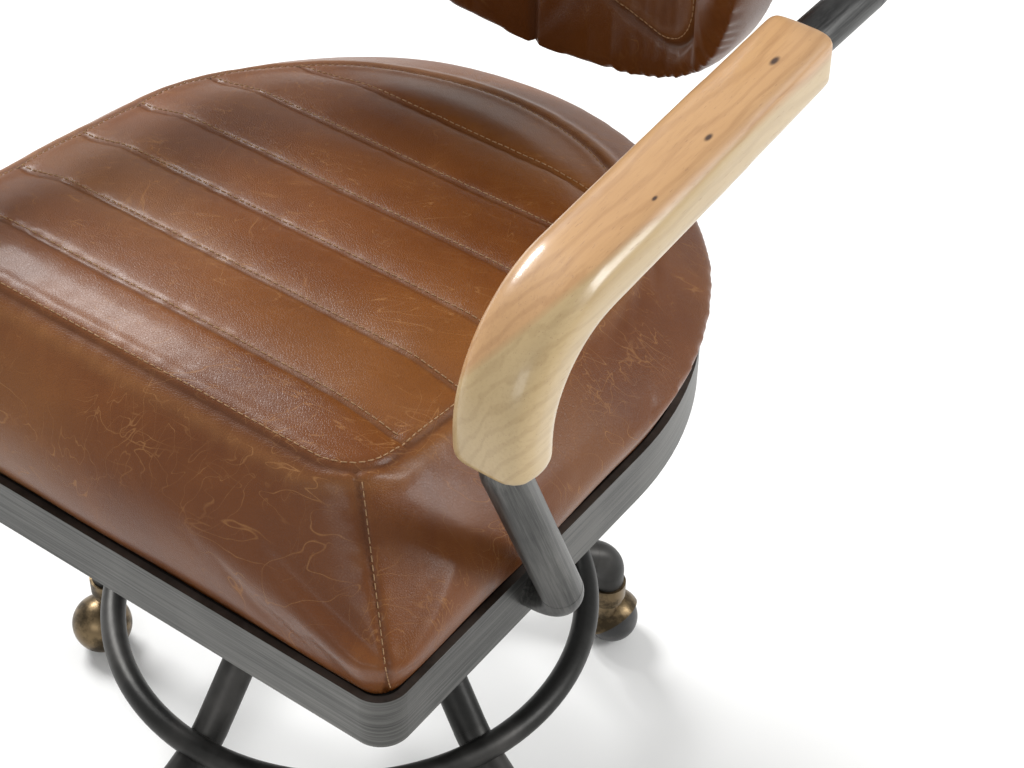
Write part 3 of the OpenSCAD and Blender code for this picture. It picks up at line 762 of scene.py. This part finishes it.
# ---- Backrest ----
# A curved pad of foam under hide with a seam down its middle and a topstitched round-cornered
# patch each side of it, on a thin shell covered in the same hide.
back_low, back_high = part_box("back_cushion")
radius_inner = 0.300
hollow_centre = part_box("back_shell")[1].y - 0.346
rear_half = radius_inner + 0.034
patch_low, patch_high = back_low.z + 0.070, back_high.z - 0.055
patch_in, patch_out, patch_round = 0.032, 0.168, 0.050
patch_way, patch_z = (patch_in + patch_out) / 2, (patch_low + patch_high) / 2


def unrolled(points):
    """Distance round the curve, height, and distance from the curve's axis."""
    x = points[:, 0]
    y = points[:, 1] - hollow_centre
    return np.arctan2(x, y) * radius_inner, points[:, 2], np.hypot(x, y)


def patch_gap(points):
    """Signed distance over the curved face from the nearer patch's edge, negative inside it."""
    round_way, z, _ = unrolled(points)
    past_side = np.abs(np.abs(round_way) - patch_way) - (patch_out - patch_in) / 2
    past_end = np.abs(z - patch_z) - (patch_high - patch_low) / 2
    return rounded(past_side, past_end, patch_round)


back_pad = remeshed(fresh_copy("back_pad", "back_cushion"), pad_cell, 9)
where = points_of(back_pad)
round_way, _, away = unrolled(where)
face = away < radius_inner + 0.008
held = np.maximum.reduce([
    np.where(face, pinned(patch_gap(where), 0.0035) * 0.8, 0),
    np.where(face, pinned(round_way, 0.0035), 0),
    np.where(away > rear_half, 1, 0),
])
swell(back_pad, held, pressure=3.0, most=0.011)
finer(back_pad)
where = points_of(back_pad)
out = normals_of(back_pad)
round_way, _, away = unrolled(where)
face = away < radius_inner + 0.016
patch_edge = face * bell(patch_gap(where), 0.003)
spine = face * bell(round_way, 0.003)
lip = face * bell(patch_gap(where) + 0.006, 0.005)
near_seam = np.maximum(tail(patch_gap(where), 0.012), tail(round_way, 0.012)) * face
move = 0.0008 * lip - 0.0022 * patch_edge - 0.0034 * spine
move += waves(where, 0.017, 15) * near_seam * 0.0006 + waves(where, 0.12, 18) * 0.0012
move = np.where(away > rear_half, 0, move)
move_to(back_pad, where + out * move[:, None])
# The patch edges and the middle seam are marked for painted shade, which the hide's finish lays into
# them.
mark(back_pad, "fold_shade", 0.7 * patch_edge + 0.95 * spine)
mark(back_pad, "stretched", 0.35 * lip + np.clip(waves(where, 0.2, 13), 0, 0.35))
back_hide = cognac("back_hide", 0.72, (4.0, 2.0, 1.0))
back_pad.data.materials.append(back_hide.material)
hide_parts("back_cushion")
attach(back_pad, "seat")


def patch_stitch(side, turn, span):
    """A place on the curved face near one patch's middle, and the way out of the face there."""
    angle = side * (patch_way + math.sin(turn) * span) / radius_inner
    over, deep = math.sin(angle), math.cos(angle)
    z = patch_z + math.cos(turn) * span
    place = np.array([over * radius_inner, hollow_centre + deep * radius_inner, z])
    return place, (-over, -deep, 0)


rows = []
for side in (1, -1):
    trail = traced(
        lambda *at: patch_gap(patch_stitch(side, *at)[0][None])[0], 200, start=0.03, inset=0.0045
    )
    rows.append([patch_stitch(side, *at) for at in trail])
sew("back_stitches", back_pad, rows, width=0.0009)

shell = remeshed(fresh_copy("back_cover", "back_shell"), 0.0032, 6)
where = points_of(shell)
mark(shell, "fold_shade", np.zeros(len(where)))
mark(shell, "stretched", np.clip(waves(where, 0.2, 23), 0, 0.3))
shell.data.materials.append(back_hide.material)
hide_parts("back_shell")
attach(shell, "seat")
